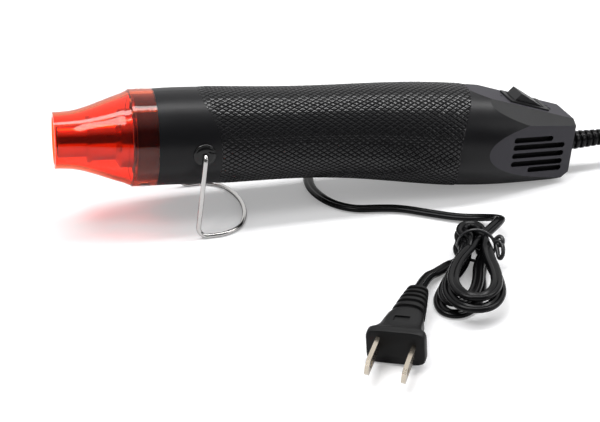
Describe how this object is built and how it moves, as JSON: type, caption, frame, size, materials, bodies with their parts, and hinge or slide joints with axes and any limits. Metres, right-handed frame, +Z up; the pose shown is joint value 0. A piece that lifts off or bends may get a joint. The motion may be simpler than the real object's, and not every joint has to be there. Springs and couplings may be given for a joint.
{
  "type": "embossing heat tool",
  "caption": "Slim hot-air heat tool on its fold-out wire stand, with clear red nozzle cover, tail switch, side vents and a tied cord with a flat-blade plug.",
  "frame": {"origin": "on the floor under the middle of the tool's own box, without the free cord", "axes": "+X from the nozzle to the tail, +Y to the tool's right side, +Z up; the tool rests on its wire stand and on the pad under its tail, nozzle raised 4 degrees"},
  "size_m": [0.33, 0.1966, 0.0581],
  "materials": {
    "black_plastic": "satin, knurled grip",
    "clear_red": "clear gloss",
    "chrome": "polished",
    "screw_steel": "plated",
    "steel": "drawn",
    "mica": "matte",
    "ceramic": "matte",
    "heating_wire": "oxidised",
    "motor_steel": "plated",
    "inner_plastic": "matte",
    "fan_plastic": "gloss",
    "board": "lacquered",
    "components": "gloss",
    "lead_insulation": "gloss",
    "switch_plastic": "satin",
    "brass": "plain",
    "black_gloss": "gloss",
    "cord_rubber": "soft gloss",
    "tie_plastic": "gloss",
    "plug_plastic": "satin",
    "plated_brass": "nickel plated"
  },
  "bodies": {
    "housing": {"left_shell": "black_plastic", "right_shell": "black_plastic", "nozzle_cover": "clear_red", "collar_screws": "chrome", "housing_screws": "screw_steel", "nozzle_tube": "steel", "heat_liner": "steel", "mica_sleeve": "mica", "element_former": "mica", "heating_coil": "heating_wire", "front_ring": "ceramic", "rear_ring": "ceramic", "element_seat": "ceramic", "thermal_cutout": "chrome", "motor_can": "motor_steel", "motor_cradle": "inner_plastic", "fan_duct": "inner_plastic", "rectifier_board": "board", "board_parts": "components", "inner_leads": "lead_insulation", "switch_body": "switch_plastic", "rocker_pin": "screw_steel", "switch_terminals": "brass", "pivot_bushes": "black_gloss", "cord_boot": "cord_rubber", "cord_stub": "cord_rubber", "cord_clamp": "inner_plastic", "clamp_screws": "screw_steel", "cord_run": "cord_rubber", "plug_lead": "cord_rubber", "cord_hank": "cord_rubber", "hank_tie": "tie_plastic", "plug_body": "plug_plastic", "plug_blades": "plated_brass"},
    "stand": {"stand_wire": "chrome"},
    "rocker": {"switch_rocker": "switch_plastic"},
    "fan": {"motor_shaft": "screw_steel", "fan_impeller": "fan_plastic"}
  },
  "joints": [
    {"name": "stand_fold", "type": "hinge", "parent": "housing", "child": "stand", "pos_m": [-0.07232, 0, 0.0359], "axis": [0, 1, 0], "range_deg": [-25, 94]},
    {"name": "rocker_tip", "type": "hinge", "parent": "housing", "child": "rocker", "pos_m": [0.07606, 0, 0.03482], "axis": [0, 1, 0], "range_deg": [-30, 0]},
    {"name": "fan_spin", "type": "hinge", "parent": "housing", "child": "fan", "pos_m": [0.04115, 0, 0.02436], "axis": [0.9976, 0, -0.0698], "continuous": true}
  ]
}
